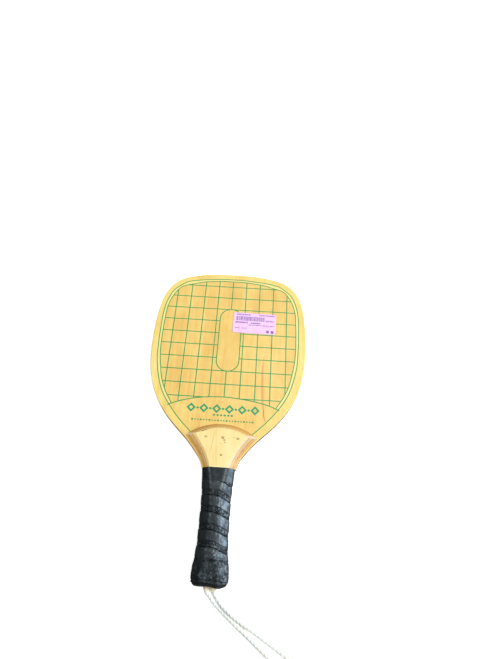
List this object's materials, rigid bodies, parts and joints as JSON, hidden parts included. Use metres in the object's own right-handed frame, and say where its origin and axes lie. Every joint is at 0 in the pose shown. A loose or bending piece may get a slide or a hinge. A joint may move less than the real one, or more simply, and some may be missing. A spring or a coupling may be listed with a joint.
{
  "type": "pickleball paddle",
  "caption": "Flat plywood paddle with a rounded rectangular head, bevelled wooden cheeks at the throat, a wrapped flared handle and a flexible wrist cord loop at the butt.",
  "frame": {"origin": "on the blade's back face, at the middle of its widest line", "axes": "+X across the blade, +Y along the handle from the butt to the top of the head, +Z the front face's normal; the paddle lies flat, face up"},
  "size_m": [0.2553, 0.5143, 0.0336],
  "materials": {
    "face_veneer": "satin varnish",
    "ply_veneer": "sanded edge, varnished",
    "cheek_face": "satin varnish",
    "cheek_ply": "satin varnish",
    "brad_steel": "oxidised, set below the surface",
    "cap_plastic": "moulded, fine grain",
    "grip_leather": "perforated synthetic leather, worn sheen",
    "tape_vinyl": "smooth vinyl tape",
    "label_paper": "matt self-adhesive paper",
    "cord_cotton": "twisted white cord"
  },
  "bodies": {
    "paddle": {"rear_face_veneer": "face_veneer", "rear_crossband": "ply_veneer", "rear_inner_veneer": "ply_veneer", "core_veneer": "ply_veneer", "front_inner_veneer": "ply_veneer", "front_crossband": "ply_veneer", "front_face_veneer": "face_veneer", "front_cheek_base": "cheek_ply", "front_cheek_middle": "cheek_ply", "front_cheek_face": "cheek_face", "rear_cheek_base": "cheek_ply", "rear_cheek_middle": "cheek_ply", "rear_cheek_face": "cheek_face", "front_cheek_brads": "brad_steel", "rear_cheek_brads": "brad_steel", "butt_cap": "cap_plastic", "cap_tacks": "brad_steel", "grip_wrap": "grip_leather", "finishing_tape": "tape_vinyl", "price_label": "label_paper", "cord_knot": "cord_cotton"},
    "cord_segment_1": {"cord_segment_1": "cord_cotton"},
    "cord_segment_2": {"cord_segment_2": "cord_cotton"},
    "cord_segment_3": {"cord_segment_3": "cord_cotton"},
    "cord_segment_4": {"cord_segment_4": "cord_cotton"},
    "cord_segment_5": {"cord_segment_5": "cord_cotton"},
    "cord_loop_end": {"cord_loop_end": "cord_cotton"}
  },
  "joints": [
    {"name": "cord_lift_1", "type": "hinge", "parent": "paddle", "child": "cord_segment_1", "pos_m": [0.0054, -0.3004, 0.0036], "axis": [0.7622, 0.6473, 0], "range_deg": [-40, 40]},
    {"name": "cord_swing_2", "type": "hinge", "parent": "cord_segment_1", "child": "cord_segment_2", "pos_m": [0.0141, -0.3096, -0.0026], "axis": [0.2653, -0.2401, 0.9338], "range_deg": [-35, 35]},
    {"name": "cord_lift_3", "type": "hinge", "parent": "cord_segment_2", "child": "cord_segment_3", "pos_m": [0.0292, -0.3214, -0.008], "axis": [0.5793, 0.8151, 0], "range_deg": [-40, 40]},
    {"name": "cord_swing_4", "type": "hinge", "parent": "cord_segment_3", "child": "cord_segment_4", "pos_m": [0.0476, -0.3333, -0.0087], "axis": [0.0204, -0.0134, 0.9997], "range_deg": [-35, 35]},
    {"name": "cord_lift_5", "type": "hinge", "parent": "cord_segment_4", "child": "cord_segment_5", "pos_m": [0.0674, -0.3465, -0.0091], "axis": [0.5648, 0.8252, 0], "range_deg": [-40, 40]},
    {"name": "cord_swing_6", "type": "hinge", "parent": "cord_segment_5", "child": "cord_loop_end", "pos_m": [0.098, -0.368, -0.0097], "axis": [0.0121, -0.0084, 0.9999], "range_deg": [-22, 22]}
  ]
}
